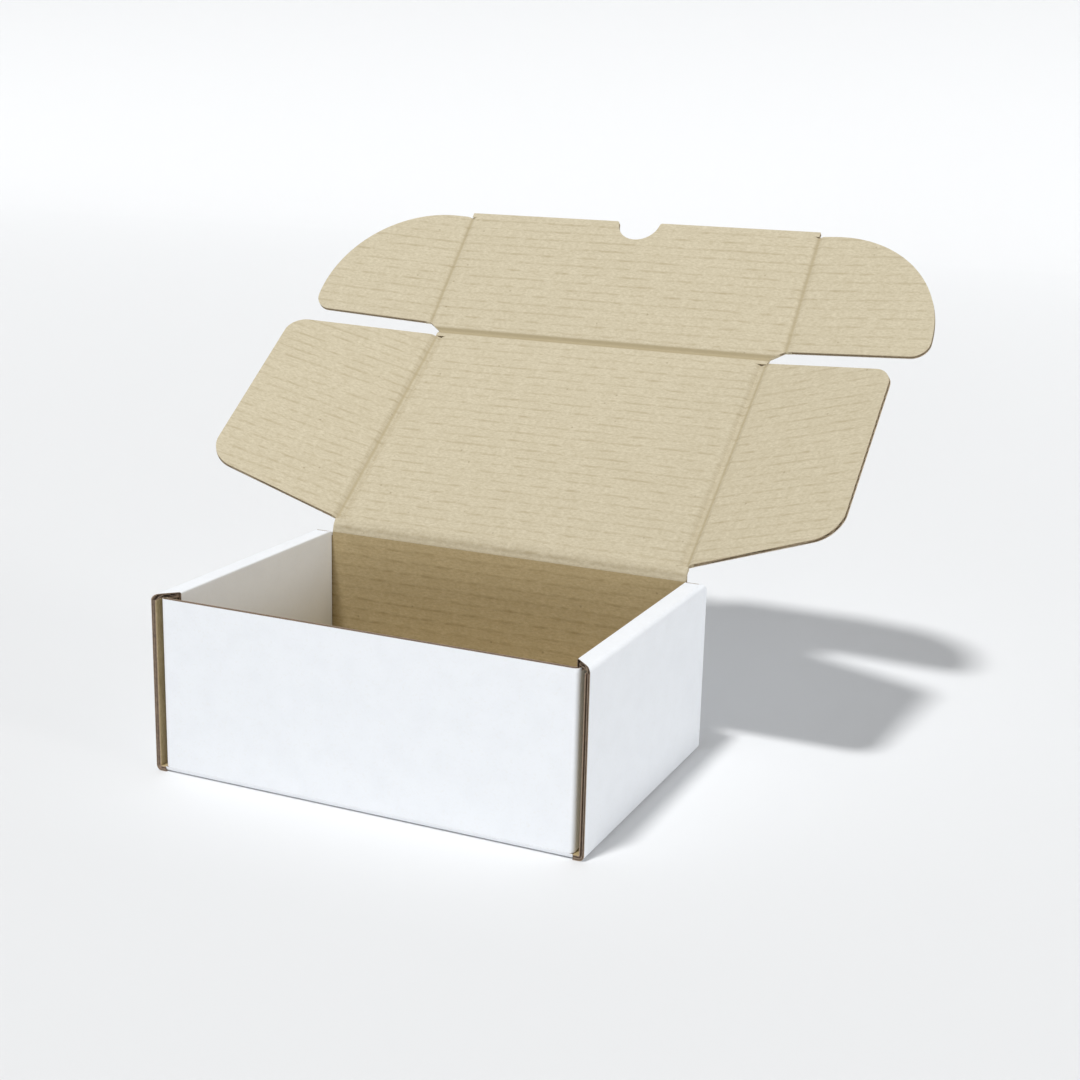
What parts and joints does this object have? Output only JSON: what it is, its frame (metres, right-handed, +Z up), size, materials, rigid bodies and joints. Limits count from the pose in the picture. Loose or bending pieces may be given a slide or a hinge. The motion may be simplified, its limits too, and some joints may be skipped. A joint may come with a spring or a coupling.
{
  "type": "corrugated mailer box",
  "caption": "Corrugated mailer box, white outside and kraft inside, with rolled side walls and an open lid with tuck-in dust flaps and a tuck flap with locking ears and a thumb notch",
  "frame": {"origin": "middle of the tray's underside, on the surface that the box stands on", "axes": "+X along the box's length to the right, +Y from the front wall to the back wall where the lid is hinged, +Z up"},
  "size_m": [0.3852, 0.3393, 0.255],
  "materials": {
    "white_side_board": "matte white coated liner outside, plain kraft liner inside",
    "kraft_side_board": "plain kraft liner inside, matte white coated liner outside"
  },
  "bodies": {
    "tray": {"tray": "white_side_board"},
    "lid": {"lid_panel": "kraft_side_board"},
    "left_crease": {"left_crease_band": "kraft_side_board"},
    "right_crease": {"right_crease_band": "kraft_side_board"},
    "left_dust_flap": {"left_dust_flap": "kraft_side_board"},
    "right_dust_flap": {"right_dust_flap": "kraft_side_board"},
    "tuck_flap": {"tuck_flap": "kraft_side_board"},
    "left_ear": {"left_ear": "kraft_side_board"},
    "right_ear": {"right_ear": "kraft_side_board"}
  },
  "joints": [
    {"name": "lid_hinge", "type": "hinge", "parent": "tray", "child": "lid", "pos_m": [0, 0.0765, 0.0932], "axis": [1, 0, 0], "range_deg": [-55, 143]},
    {"name": "left_crease_press", "type": "hinge", "parent": "lid", "child": "left_crease", "pos_m": [-0.1013, 0.13768, 0.1393], "axis": [0, 0.7986, 0.6018], "range_deg": [-19.51, 8]},
    {"name": "left_dust_flap_fold", "type": "hinge", "parent": "left_crease", "child": "left_dust_flap", "pos_m": [-0.10413, 0.13707, 0.1401], "axis": [0, 0.7986, 0.6018], "range_deg": [-19.5, 90]},
    {"name": "right_crease_press", "type": "hinge", "parent": "lid", "child": "right_crease", "pos_m": [0.1013, 0.13768, 0.1393], "axis": [0, -0.7986, -0.6018], "range_deg": [-19.51, 8]},
    {"name": "right_dust_flap_fold", "type": "hinge", "parent": "right_crease", "child": "right_dust_flap", "pos_m": [0.10413, 0.13707, 0.1401], "axis": [0, -0.7986, -0.6018], "range_deg": [-19.5, 90]},
    {"name": "tuck_flap_fold", "type": "hinge", "parent": "lid", "child": "tuck_flap", "pos_m": [0, 0.20085, 0.1869], "axis": [1, 0, 0], "range_deg": [-10, 80]},
    {"name": "left_ear_fold", "type": "hinge", "parent": "tuck_flap", "child": "left_ear", "pos_m": [-0.11235, 0.23253, 0.22087], "axis": [0, 0.682, 0.7314], "range_deg": [-4.5, 85.5]},
    {"name": "right_ear_fold", "type": "hinge", "parent": "tuck_flap", "child": "right_ear", "pos_m": [0.11235, 0.23253, 0.22087], "axis": [0, -0.682, -0.7314], "range_deg": [-4.5, 85.5]}
  ],
  "couplings": [
    {"joint": "left_crease_press", "follows": "lid_hinge", "ratio": -0.13636},
    {"joint": "right_crease_press", "follows": "lid_hinge", "ratio": -0.13636}
  ]
}
